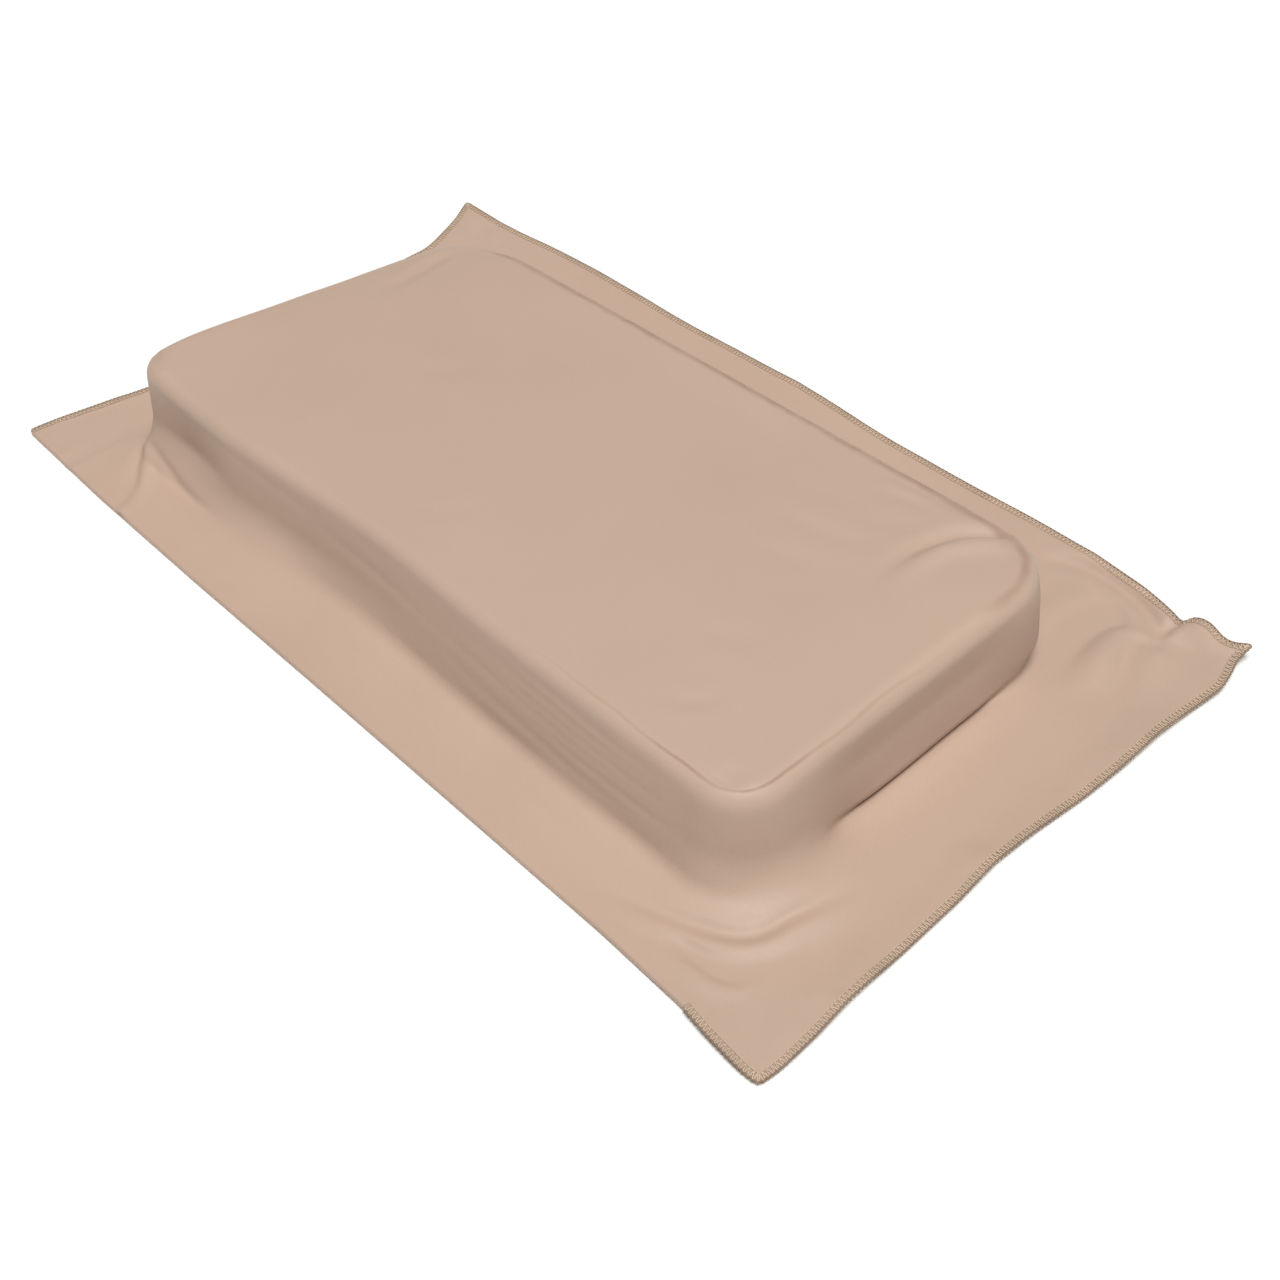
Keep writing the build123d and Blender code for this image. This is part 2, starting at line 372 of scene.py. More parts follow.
# The radius of each of the pad's corners, in plan
front_left_radius, front_right_radius, back_left_radius, back_right_radius = 16.0, 26.0, 30.0, 40.0


def pad_distance(points):
    """Distance outside the pad's outline, and the outward direction."""
    q = points - np.array([pad_x, pad_y])
    left, front = q[:, 0] < 0, q[:, 1] < 0
    front_radius = np.where(left, front_left_radius, front_right_radius)
    radius = np.where(front, front_radius, np.where(left, back_left_radius, back_right_radius))
    away = np.abs(q) - np.array([pad_half_length, pad_half_width]) + radius[:, None]
    out = np.maximum(away, 0)
    length = norm(out, axis=1)
    distance = length + np.minimum(away.max(axis=1), 0) - radius
    corner = out / np.maximum(length, 1e-9)[:, None]
    side = np.zeros_like(q)
    side[np.arange(len(q)), away.argmax(axis=1)] = 1
    normal = np.where((length > 1e-9)[:, None], corner, side) * np.where(q < 0, -1, 1)
    return distance, normal


profile_points = 500


def rounded_path(corners, radii):
    """Points evenly spaced along a polyline in (r, z) with its inner corners rounded."""
    corners = [np.array(c, float) for c in corners]
    path = [corners[0]]
    for before, corner, after, radius in zip(corners, corners[1:], corners[2:], radii):
        a = (before - corner) / norm(before - corner)
        b = (after - corner) / norm(after - corner)
        half = math.acos(max(-1, min(1, float(a @ b)))) / 2
        reach = radius / math.tan(half)
        middle = corner + (a + b) / norm(a + b) * radius / math.sin(half)
        start, end = corner + a * reach - middle, corner + b * reach - middle
        turn = math.pi - 2 * half
        for t in np.arange(25) / 24:
            point = (math.sin((1 - t) * turn) * start + math.sin(t * turn) * end) / math.sin(turn)
            path.append(middle + point)
    path.append(corners[-1])
    path = np.array(path)
    steps = np.concatenate([[0], np.cumsum(norm(np.diff(path, axis=0), axis=1))])
    at = np.linspace(0, steps[-1], profile_points)
    return np.interp(at, steps, path[:, 0]), np.interp(at, steps, path[:, 1])


def wall_profile(corners, radii):
    """The cover from the pad's top over its wall to the flange: how far outside the pad, and how high."""
    return rounded_path([(-band_in, pad_height), *corners, (band_out, flange_top)], radii)


profiles = {
    "upright": wall_profile([(0, pad_height), (2.5, 3)], [8.5, 6]),
    "tucked": wall_profile(
        [(0, pad_height), (-1, 34), (2.4, 7.5), (-1.6, 2.6), (4, 4.5), (17, 2.8)],
        [10, 40, 1.2, 0.3, 1.2, 8],
    ),
    "swept": wall_profile([(0, pad_height), (10, 10)], [8, 26]),
    "kneed": wall_profile([(0, pad_height), (-2.5, 23), (16.5, 2.4), (21.5, 3.5)], [8, 8, 0.5, 3]),
    "tented": wall_profile([(0, pad_height), (9, 12), (33, 2.6)], [13, 30, 22]),
    "soft": wall_profile([(0, pad_height), (12, 3)], [26, 14]),
    "crisp": wall_profile([(0, pad_height), (13.5, 8.5)], [8, 7]),
    "bulged": wall_profile(
        [(0, pad_height), (3.5, 42), (4.5, 14), (-2.5, 3.2), (12, 3)], [9, 20, 10, 1, 6]
    ),
}

# Where the free edges lie, and how high they stand: (place along the edge, value)
left_edge = curve(
    [(-180, -322), (-174, -321.5), (-155, -318.5), (-129, -312.5), (-102, -306), (-60, -301), (0, -298)]
    + [(60, -298), (100, -298), (122, -298), (134, -302.5), (146, -309), (163, -319), (180, -331)],
    6,
)
right_edge = curve(
    [(-180, 327), (-170, 328.5), (-150, 328), (-127, 326), (-90, 325.5), (-52, 324.5), (-22, 322.5), (5, 324)]
    + [(35, 327), (62, 328.5), (94, 328.5), (118, 330), (140, 332.5), (155, 330), (168, 327), (180, 328.5)],
    4,
)
back_edge = curve(
    [(-325, 185), (-270, 184.5), (-192, 185.5), (-150, 184.5), (-91, 183), (-2, 183), (84, 179), (158, 178.5)]
    + [(227, 177), (262, 172.5), (284, 167), (290, 165.5), (297, 169.5), (304, 169.5), (312, 166.5)]
    + [(318, 167), (325, 172)],
    2.5,
)
front_edge = curve(
    [(-325, -174), (-230, -177), (-120, -178), (-19, -178), (120, -178.5), (221, -179), (262, -180.5)]
    + [(277, -181), (294, -183.5), (316, -185.5), (325, -184.5)],
    5,
)
left_rise = curve([(-180, 0.5), (-150, 1.5), (-90, 1), (-20, 3), (70, 6), (120, 5), (160, 2), (180, 3)], 12)
right_rise = curve(
    [(-180, 0.3), (-160, 0.6), (-125, 2.4), (-95, 0.8), (-55, 0.5), (-25, 2.6), (5, 1.2), (35, 0.6), (65, 2.4)]
    + [(95, 3.2), (120, 1.2), (142, 3), (160, 3), (180, 6)],
    7,
)
back_rise = curve(
    [(-325, 3), (-290, 1), (-240, 3.2), (-180, 4.6), (-120, 3), (-60, 3.6), (0, 4.8), (60, 3)]
    + [(120, 2.6), (180, 3.4), (230, 3.4), (262, 3), (280, 3), (289, 2.6), (297, 7), (304, 8)]
    + [(313, 5.5), (325, 6.5)],
    4,
)
front_rise = curve(
    [(-325, 0.6), (-250, 0.3), (-60, 0.2), (100, 0.2), (235, 0.4), (275, 1.6), (300, 0.8), (325, 0.2)], 12
)
# How far the pad's front wall stands out or in, and how low the top sinks along its left edge
front_bow = curve(
    [(-325, -4), (-183, -4), (-138, -2.5), (-88, 0.5), (-16, 4), (45, 1.5), (80, 0), (325, 0)], 20
)
left_bow = curve([(-180, -8), (-90, -8), (-50, -6), (-20, -3), (15, 0), (180, 0)], 14)
left_sink = curve(
    [(-180, 0), (-60, 0), (-35, 1), (-10, 2.5), (15, 4.5), (45, 6.5), (75, 9), (100, 12), (180, 12)], 12
)

crown_height = 2.4
full_corner_height = 5.5


def crown(x, y):
    """The pad's even crown, from 0 at its edges to 1 in the middle."""
    u, v = (x - pad_x) / pad_half_length, (y - pad_y) / pad_half_width
    return (np.clip(1 - u**2, 0, 1) * np.clip(1 - v**2, 0, 1)) ** 0.45


def sunk(x, y):
    """How far the top sinks towards its back left corner."""
    return left_sink(y) * (1 - smooth(x, left_end - 10, left_end + 92)) ** 1.3


def drape(points):
    """Carries flat points of the sheet on to the pad and the flange: their places in space."""
    x, y = points[:, 0], points[:, 1]
    distance, normal = pad_distance(points)
    share = np.clip((distance + band_in) / (band_in + band_out), 0, 1)
    at = np.linspace(0, 1, profile_points)
    to_left, to_front = x < pad_x, y < pad_y

    front = smooth(-normal[:, 1], 0.35, 0.95) * to_front
    right = smooth(normal[:, 0], 0.6, 0.98) * (x > pad_x)
    front_left = bump(x, left_end, 26) * bump(y, front_end, 26)
    front_right = bump(x, right_end, 34) * bump(y, front_end, 34)
    back_left = (1 - smooth(x, left_end, left_end + 85)) * smooth(y, back_end - 125, back_end - 10)
    back_right = bump(x, right_end, 36) * bump(y, back_end, 36)
    front_left_knee = (1 - smooth(x, -215, -140)) * (0.3 + 0.7 * smooth(x, left_end - 5, left_end + 70))
    # From one kind of wall to the next, each laid over those before it
    layers = [
        ("swept", front),
        ("crisp", front * smooth(x, -110, 20)),
        ("kneed", front * front_left_knee),
        ("swept", right * (1 - smooth(y, -100, -44))),
        ("tucked", right * smooth(y, -76, -32) * (1 - smooth(y, 35, 75))),
        ("tented", np.clip(0.8 * front_right + 0.2 * front_left, 0, 1)),
        ("bulged", back_right),
        ("soft", back_left),
    ]
    weights = {kind: np.zeros(len(points)) for kind in profiles}
    weights["upright"] += 1
    for kind, amount in layers:
        for weight in weights.values():
            weight *= 1 - amount
        weights[kind] += amount
    walls = [(weights[kind], profile) for kind, profile in profiles.items()]
    out, height = (sum(weight * np.interp(share, at, wall[k]) for weight, wall in walls) for k in (0, 1))
    inside, outside = distance < -band_in, distance > band_out
    out = np.where(inside | outside, distance, out)
    height = np.where(inside, pad_height, np.where(outside, flange_top, height))
    place = points + normal * (out - distance)[:, None]

    # The wall bows in and out, and the top is slightly crowned and sinks to its back left corner.
    near_wall = smooth(distance, -70, -10) * (1 - smooth(distance, 12, 46))
    place[:, 1] += near_wall * np.clip(-normal[:, 1], 0, 1) * front_bow(x) * to_front
    place[:, 0] += near_wall * np.clip(-normal[:, 0], 0, 1) * left_bow(y) * to_left
    level = smooth(height, 0.25 * pad_height, pad_height)
    full_corner = bump(x, left_end, 34) * bump(y, -98, 44)
    height = height + level * (crown_height * crown(x, y) - sunk(x, y) + full_corner_height * full_corner)
    return np.column_stack([place, height]), distance


def edge_shift(points):
    """How the sheet's free edges wander from straight, and stand up from the floor."""
    x, y = points[:, 0], points[:, 1]
    to_left = 1 - smooth(x, -half_length, -half_length + 62)
    to_right = smooth(x, half_length - 34, half_length)
    to_front = 1 - smooth(y, -half_width, -half_width + 40)
    to_back = smooth(y, half_width - 48, half_width)
    move = np.zeros((len(points), 3))
    move[:, 0] = to_left * (left_edge(y) + half_length) + to_right * (right_edge(y) - half_length)
    move[:, 1] = to_back * (back_edge(x) - half_width) + to_front * (front_edge(x) + half_width)
    lift_left = 1 - smooth(x, -half_length, -half_length + 42)
    lift_right = smooth(x, half_length - 30, half_length)
    lift_front = 1 - smooth(y, -half_width, -half_width + 24)
    lift_back = smooth(y, half_width - 26, half_width)
    at_sides = np.maximum(lift_left * left_rise(y), lift_right * right_rise(y))
    move[:, 2] = np.maximum.reduce([at_sides, lift_front * front_rise(x), lift_back * back_rise(x)])
    # The corners are cut round.
    radius = 1.6
    for sides in ((-1, -1), (-1, 1), (1, -1), (1, 1)):
        q = points * sides - (half_length - radius, half_width - radius)
        corner = (q > 0).all(axis=1)
        q = q[corner]
        pull = q * (q.max(axis=1) / norm(q, axis=1) - 1)[:, None]
        move[corner, :2] += pull * sides
    return move


def smooth_path(path, steps=8):
    """A Catmull-Rom line through the points."""
    p = np.array(path, float)
    p = np.vstack([2 * p[0] - p[1], p, 2 * p[-1] - p[-2]])
    t = (np.arange(steps) / steps)[:, None]
    parts = [
        0.5 * (2 * b + (c - a) * t + (2 * a - 5 * b + 4 * c - d) * t**2 + (3 * b - a - 3 * c + d) * t**3)
        for a, b, c, d in zip(p, p[1:], p[2:], p[3:])
    ]
    return np.vstack([*parts, p[-2][None]])


def crease(plan, zone, path, depth, width, lip=0.4, taper=(0.4, 0.4), one_sided=0):
    """How far a fold moves the surface: down along a line through path, with a low lip at each side.

    taper says over which share of its length the fold fades at each end, and one_sided moves the lip to the
    left (+1) or the right (-1) of the line's direction."""
    line = smooth_path(path)
    reach = 5 * width
    low, high = line.min(axis=0) - reach, line.max(axis=0) + reach
    near = np.nonzero(((plan > low) & (plan < high)).all(axis=1) & (zone > 0.01))[0]
    amount = np.zeros(len(plan))
    if not len(near):
        return amount
    p = plan[near]
    a, d = line[:-1], np.diff(line, axis=0)
    t = np.clip(((p[:, None] - a) * d).sum(axis=2) / (d**2).sum(axis=1), 0, 1)
    away = p[:, None] - (a + t[..., None] * d)
    gap = norm(away, axis=2)
    best = gap.argmin(axis=1)
    pick = np.arange(len(p))
    s = gap[pick, best]
    along = (best + t[pick, best]) / len(d)
    side = np.sign(d[best, 0] * away[pick, best, 1] - d[best, 1] * away[pick, best, 0])
    ends = np.clip(along / max(taper[0], 1e-6), 0, 1) * np.clip((1 - along) / max(taper[1], 1e-6), 0, 1)
    shape = -np.exp(-((s / width) ** 2))
    shape += lip * (1 + one_sided * side) * np.exp(-(((s - 2.1 * width) / (1.3 * width)) ** 2))
    amount[near] = depth * shape * ends * ends * (3 - 2 * ends) * zone[near]
    return amount


# Folds in the flange and on the top, by places in plan: (path, depth, width, then crease()'s other words)
flange_folds = [
    ([(-274, -175), (-277, -156), (-276, -143), (-270, -131)], 1.4, 4.6, 0.4, (0, 0.5)),
    ([(-257, -127), (-250, -135), (-238, -146), (-222, -161), (-213, -178)], 1.8, 3.4, 0.45, (0.5, 0), 1),
    ([(-256, -129), (-240, -133), (-209, -138), (-178, -141), (-150, -143)], 1, 1.7, 0.2, (0.1, 0.5)),
    ([(-311, -158), (-306, -132), (-299, -114)], 0.9, 6, 0.4, (0.3, 0.3)),
    ([(182, -168), (216, -159), (254, -146), (272, -134)]
     + [(279, -113), (284, -94), (289, -72)], 1.7, 3.4, 0.55, (0.4, 0.4), -1),
    ([(234, -158), (248, -158), (262, -158)]
     + [(277, -157), (285, -150), (288, -138)], 1.7, 3.6, 0.55, (0.5, 0.5), -1),
    ([(207, 159), (217, 163), (231, 167), (253, 166)]
     + [(272, 161), (287, 151), (292, 137), (295, 120)], 2.4, 3.6, 0.3, (0.12, 0.5)),
    ([(263, 155), (259, 141), (256, 126), (257, 108), (262, 88), (268, 70)], 4.2, 10.5, 0.35, (0.15, 0.5)),
    ([(283, 146), (284, 133), (289, 120), (296, 104), (301, 94)], 2.6, 6.5, 0.4, (0.15, 0.6)),
    ([(286, 149), (290, 160), (291, 172)], 2.2, 3.2, 0, (0.3, 0)),
    ([(284, 25), (296, 25), (306, 34)], 0.9, 6),
    ([(300, 60), (308, 40), (318, 30)], 0.7, 5, 0.5, (0.4, 0.2)),
    ([(-240, 128), (-150, 132), (-60, 128), (60, 130), (150, 127), (205, 132)], 1.2, 7, 0.4, (0.3, 0.3)),
    ([(-300, 172), (-280, 150), (-262, 128)], 1.8, 5, 0.6, (0.2, 0.3)),
    ([(318, -178), (300, -160), (285, -146)], 0.5, 5, 0.5, (0.3, 0.4)),
    ([(324, -128), (308, -120), (296, -108)], 0.8, 6, 0.5, (0.1, 0.5)),
    ([(324, -20), (308, -16), (292, -18)], 0.8, 7, 0.5, (0.1, 0.5)),
    ([(-120, -176), (-100, -160), (-60, -152)], 0.3, 6, 0.4, (0.2, 0.5)),
]
top_folds = [
    ([(199, 22), (194, 44), (194, 64), (200, 84), (209, 96), (222, 106)], 3.4, 4.2, 0.45, (0.6, 0.1), -1),
    ([(113, 36), (137, 40), (164, 45), (182, 58)], 0.75, 5.5),
    ([(140, 84), (162, 90), (185, 95)], 0.9, 3.5, 0.5, (0.5, 0.3)),
    ([(132, 98), (159, 100), (179, 102), (205, 104)], 0.9, 2.6, 0.4, (0.5, 0.2)),
    ([(150, 62), (172, 70), (192, 82)], 0.45, 5),
    ([(96, 62), (130, 66), (158, 76)], 0.4, 6),
    ([(120, 8), (150, 14), (178, 24)], 0.4, 5),
    ([(150, -50), (172, -46), (190, -36)], 0.35, 6),
    ([(172, -95), (190, -88), (201, -72)], 0.6, 4, 0.5),
    ([(-29, -95), (-6, -84), (12, -66)], 0.4, 5),
    ([(-139, -24), (-107, -6), (-90, 22)], 0.35, 7),
    ([(-214, 90), (-212, 76), (-208, 56), (-205, 36), (-204, 15)], 1.6, 4.5, 0.4, (0.2, 0.6)),
    ([(-160, 80), (-60, 84), (60, 84), (160, 86)], 0.45, 9, 0.2, (0.3, 0.3)),
    ([(219, -110), (229, -113), (238, -111), (245, -103)], 0.7, 1.7, 0),
]
# Fine draw lines in the front wall, by place along it and height
wall_folds = [
    ([(75, 51), (130, 50), (180, 48), (222, 49)], 0.2, 1.5, 0.2),
    ([(20, 47), (90, 46), (160, 42), (205, 43)], 0.16, 1.8, 0.2),
    ([(70, 41), (120, 38), (185, 37), (228, 38)], 0.22, 1.5, 0.2),
    ([(10, 37), (80, 35), (140, 32), (190, 32)], 0.18, 2, 0.2),
    ([(100, 29), (150, 26), (195, 26), (230, 28)], 0.22, 1.6, 0.2),
    ([(40, 26), (95, 22), (150, 19), (200, 18)], 0.26, 2.4, 0.2),
    ([(-90, 42), (-20, 38), (60, 34)], 0.22, 2.8, 0.2, (0.5, 0.5)),
    ([(-190, 50), (-110, 47), (-40, 46)], 0.18, 2.4, 0.2),
]


def surface_normals(points, shape):
    """The upward normal at each point of a grid."""
    grid = points.reshape(*shape, 3)
    across, along = np.gradient(grid, axis=0), np.gradient(grid, axis=1)
    normal = np.cross(across, along).reshape(-1, 3)
    return normal / norm(normal, axis=1)[:, None]


def fold(points, normals):
    """Works the folds into the draped surface."""
    x, y, z = points.T
    on_flange = 1 - smooth(z, 9, 18)
    on_top = smooth(z, 38, 48)
    on_front = smooth(-normals[:, 1], 0.5, 0.8) * smooth(z, 4, 10)
    amount = np.zeros(len(points))
    plan, front_view = points[:, :2], points[:, [0, 2]]
    for folds, seen, zone in (
        (flange_folds, plan, on_flange),
        (top_folds, plan, on_top),
        (wall_folds, front_view, on_front),
    ):
        for path, *words in folds:
            amount += crease(seen, zone, path, *words)
    dimple = 0.9 * bump(x, 236, 6) * bump(y, -106, 5)
    amount -= on_top * dimple
    back_right_swell = 2.6 * bump(x, 280, 24) * bump(y, 124, 34)
    front_right_swell = 0.8 * bump(x, 280, 30) * bump(y, -146, 20)
    ripple = 0.45 * np.sin(x / 17 + y / 31) * np.sin(y / 23 - x / 60)
    amount += on_flange * (back_right_swell + front_right_swell + ripple)
    return points + normals * amount[:, None]


def kept_above(points):
    """Keeps the cover above the underside, softly."""
    floor_level = flange_top + 0.05
    softness = 0.6
    over = points[:, 2] - floor_level
    points[:, 2] = floor_level + 0.5 * (over + np.sqrt(over**2 + softness**2)) - 0.1
    return points


def mesh_piece(name, places, faces):
    """A smooth-shaded piece from places in millimetres."""
    mesh = bpy.data.meshes.new(name)
    mesh.from_pydata((places * MM).tolist(), [], faces)
    mesh.update()
    mesh.shade_smooth()
    thing = bpy.data.objects.new(name, mesh)
    scene.collection.objects.link(thing)
    return thing


def sheet_mesh(name, points, shape, keep=None):
    """A mesh over a grid of points in millimetres. keep says which cells stay."""
    index = np.arange(shape[0] * shape[1]).reshape(shape)
    cells = np.stack([index[:-1, :-1], index[1:, :-1], index[1:, 1:], index[:-1, 1:]], axis=-1).reshape(-1, 4)
    if keep is not None:
        cells = cells[keep]
    used, renumbered = np.unique(cells, return_inverse=True)
    return mesh_piece(name, points[used], renumbered.reshape(-1, 4).tolist())


def settling():
    """How the loose flange settles: a short cloth simulation of a coarse copy of the cover, held over the pad
    and along the sewn edges, with a little more cloth than it needs. Gives the moves of the copy's grid."""
    shape = (110, 62)
    frames = 20
    most = 2.5
    lines = [np.linspace(-half, half, n) for half, n in zip((half_length, half_width), shape)]
    places = flat_grid(*lines)
    start, distance = drape(places)
    start += edge_shift(places)
    sheet = sheet_mesh("settling_sheet", start, shape)
    inside = np.minimum(half_length - abs(places[:, 0]), half_width - abs(places[:, 1]))
    loose = smooth(distance, 8, 30) * smooth(inside, 2, 18)
    for name, weights in (("held", 1 - 0.85 * loose), ("loose", loose)):
        group = sheet.vertex_groups.new(name=name)
        for k, weight in enumerate(weights):
            group.add([k], float(weight), "REPLACE")
    cloth = sheet.modifiers.new("cloth", "CLOTH")
    cloth.point_cache.frame_end = frames
    cloth.collision_settings.distance_min = 0.0005
    cloth.settings.effector_weights.gravity = 0.3
    for key, value in {
        "quality": 5,
        "tension_stiffness": 15,
        "compression_stiffness": 15,
        "shear_stiffness": 5,
        "bending_stiffness": 0.05,
        "vertex_group_mass": "held",
        "vertex_group_shrink": "loose",
        "shrink_max": -0.02,
    }.items():
        setattr(cloth.settings, key, value)
    bpy.ops.mesh.primitive_plane_add(size=2, location=(0, 0, (flange_top - 2.4) * MM))
    table = bpy.context.object
    table.modifiers.new("hit", "COLLISION")
    table.collision.thickness_outer = 0.0005
    for number in range(1, frames + 1):
        scene.frame_set(number)
    result = sheet.evaluated_get(bpy.context.evaluated_depsgraph_get()).data
    ended = np.empty(len(start) * 3)
    result.vertices.foreach_get("co", ended)
    move = ended.reshape(-1, 3) / MM - start
    for thing in (sheet, table):
        mesh = thing.data
        bpy.data.objects.remove(thing)
        bpy.data.meshes.remove(mesh)
    scene.frame_set(1)
    far = norm(move, axis=1)
    move *= (most * np.tanh(far / most) / np.maximum(far, 1e-6))[:, None]
    move = move.reshape(*shape, 3)
    for axis in (0, 1):
        before, after = np.roll(move, 1, axis), np.roll(move, -1, axis)
        move = 0.5 * move + 0.25 * (before + after)
    return lines, move


def between(lines, values, at):
    """Values on a grid, read off at the places between its lines."""
    (i, a), (j, b) = (
        (np.clip(np.searchsorted(line, p) - 1, 0, len(line) - 2), line) for line, p in zip(lines, at.T)
    )
    s = ((at[:, 0] - a[i]) / (a[i + 1] - a[i]))[:, None]
    t = ((at[:, 1] - b[j]) / (b[j + 1] - b[j]))[:, None]
    low = values[i, j] * (1 - s) + values[i + 1, j] * s
    high = values[i, j + 1] * (1 - s) + values[i + 1, j + 1] * s
    return low * (1 - t) + high * t


def cover_shape(flat, shape):
    points, _ = drape(flat)
    points += edge_shift(flat)
    points += between(*settling(), flat)
    return kept_above(fold(points, surface_normals(points, shape)))


flat = flat_grid(x_lines, y_lines)
grid_shape = (len(x_lines), len(y_lines))
cover_points = cover_shape(flat, grid_shape)


def solid_cloth(thing, thickness):
    """Gives a sheet its thickness below the modelled surface."""
    modifier = thing.modifiers.new("thickness", "SOLIDIFY")
    modifier.thickness = thickness * MM
    modifier.offset = -1
    modifier.use_even_offset = True
    modifier.thickness_clamp = 1.0
    return thing


def finish_piece(thing, material, node):
    thing.data.materials.append(material)
    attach(thing, "cushion")
    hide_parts(node)


def rim_lines():
    """Where the cloth creases as it turns down from the pad's top, for the crease's bump and painted shade: 0 on
    the line, and how strong it is.
    """
    x, y, z = cover_points.T
    beyond = pad_distance(cover_points[:, :2])[0] + front_bow(x) * (y < pad_y) * (x < 100)
    on_top = smooth(z, 38, 48)
    in_front = on_top * smooth(x - y, 190, 320) * (1 - smooth(y, 30, 60))
    in_front *= 0.4 + 0.4 * bump(x, 240, 45) * bump(y, -105, 40)
    wander = 0.9 * np.sin(x / 19 + y / 13) + 0.5 * np.sin(x / 7.3 - y / 9.1)
    behind = smooth(y, 45, 72) * smooth(x, -235, -190)
    wide, fine = (beyond + 6.0) / 3.0, (beyond + 4.5 - 0.6 * wander) / 0.9
    return np.where(behind > in_front, wide, fine), np.maximum(0.72 * behind, in_front)


def store(thing, name, values):
    """Keeps a number at each point for the material to read. Where a sheet has none, it reads 0."""
    thing.data.attributes.new(name, "FLOAT", "POINT").data.foreach_set("value", values.astype(np.float32))


overlock_front_run = 52.0
top_cover = solid_cloth(sheet_mesh("top_cover", cover_points, grid_shape), top_cloth)
# These stored numbers place the painted shade and the bump of the crease along the pad's rim.
rim_place, rim_shade_strength = rim_lines()
store(top_cover, "rim_place", rim_place + rim_zero)
store(top_cover, "rim_shade_strength", rim_shade_strength)
# hem places the painted shade on the cloth between the overlock's threads.
no_hem = 99
to_front = np.where(flat[:, 0] > half_length - overlock_front_run + 4, flat[:, 1] + half_width, no_hem)
to_others = np.minimum(half_length - abs(flat[:, 0]), half_width - flat[:, 1])
store(top_cover, "hem", np.maximum(hem_depth - np.minimum(to_front, to_others), 0))
finish_piece(top_cover, cover_material, "top_sheet")

# ---- The underside: two panels with a raised channel between them for the zip
channel_rise = 4.5
channel_half_length, channel_half_width, channel_run = 236.0, 14.0, 5.0


def thinned(lines, needed):
    """Every second grid line, the ends, and the lines that the slit needs."""
    kept = set(range(0, len(lines), 2)) | {len(lines) - 1}
    kept |= {int(np.argmin(abs(lines - value))) for value in needed}
    return np.array(sorted(kept))


x_kept = thinned(x_lines, slit_ends)
near_zip = [k for k in range(len(y_lines)) if abs(y_lines[k] - zip_y) < channel_half_width + 8]
y_kept = np.array(sorted(set(thinned(y_lines, slit_sides)) | set(near_zip)))
under_index = (x_kept[:, None] * len(y_lines) + y_kept[None, :]).ravel()
under_shape = (len(x_kept), len(y_kept))
under_flat = flat[under_index]
under_cover = cover_points[under_index]
border = np.minimum(half_length - abs(under_flat[:, 0]), half_width - abs(under_flat[:, 1]))
at_border = 1 - smooth(border, 1.5, 22)
under_points = np.column_stack([under_flat, np.full(len(under_flat), under_cloth)])
under_points[:, :2] += edge_shift(under_flat)[:, :2]
beside = np.maximum(
    (abs(under_flat[:, 0] - zip_x) - channel_half_length) / channel_run,
    (abs(under_flat[:, 1] - zip_y) - channel_half_width) / channel_run,
)
in_channel = 1 - smooth(beside, 0, 1)
under_points[:, 2] += channel_rise * in_channel
under_points[:, 2] += at_border * (under_cover[:, 2] - top_cloth - under_cloth)
cell_x = (x_lines[x_kept][:-1] + x_lines[x_kept][1:]) / 2
cell_y = (y_lines[y_kept][:-1] + y_lines[y_kept][1:]) / 2
cell_at = flat_grid(cell_x, cell_y)
in_slit = (abs(cell_at[:, 0] - zip_x) < slit_half_length) & (abs(cell_at[:, 1] - zip_y) < slit_half_width)
for side, name in ((-1, "underside_front"), (1, "underside_rear")):
    keep = ((cell_at[:, 1] - zip_y) * side > 0) & ~in_slit
    panel = solid_cloth(sheet_mesh(name, under_points, under_shape, keep), under_cloth)
    finish_piece(panel, cover_material, name + "_panel")

# ---- Threads


def tube_mesh(name, paths, radius):
    """Round threads along the given lines, in millimetres, as one mesh with closed ends."""
    sides = 5
    verts, faces, start = [], [], 0
    turn = np.linspace(0, 2 * math.pi, sides, endpoint=False)
    circle = np.stack([np.cos(turn), np.sin(turn)], axis=1) * radius
    for path in paths:
        path = np.asarray(path, float)
        ahead = np.gradient(path, axis=0)
        ahead /= norm(ahead, axis=1)[:, None]
        hint = np.array([0, 0, 1.0]) if abs(ahead[0, 2]) < 0.9 else np.array([1.0, 0, 0])
        across = np.empty_like(path)
        side = np.cross(ahead[0], hint)
        for k, t in enumerate(ahead):
            side = side - t * (side @ t)
            side = side / norm(side)
            across[k] = side
        over = np.cross(ahead, across)
        ring = path[:, None] + circle[:, 0, None] * across[:, None] + circle[:, 1, None] * over[:, None]
        n = len(path)
        k, j = np.meshgrid(np.arange(n - 1), np.arange(sides), indexing="ij")
        j2 = (j + 1) % sides
        quads = np.stack([k * sides + j, k * sides + j2, (k + 1) * sides + j2, (k + 1) * sides + j], axis=-1)
        verts.append(ring.reshape(-1, 3))
        faces += (quads.reshape(-1, 4) + start).tolist()
        faces.append((start + np.arange(sides)[::-1]).tolist())
        faces.append((start + (n - 1) * sides + np.arange(sides)).tolist())
        start += n * sides
    return mesh_piece(name, np.vstack(verts), faces)


stitch = 2.6


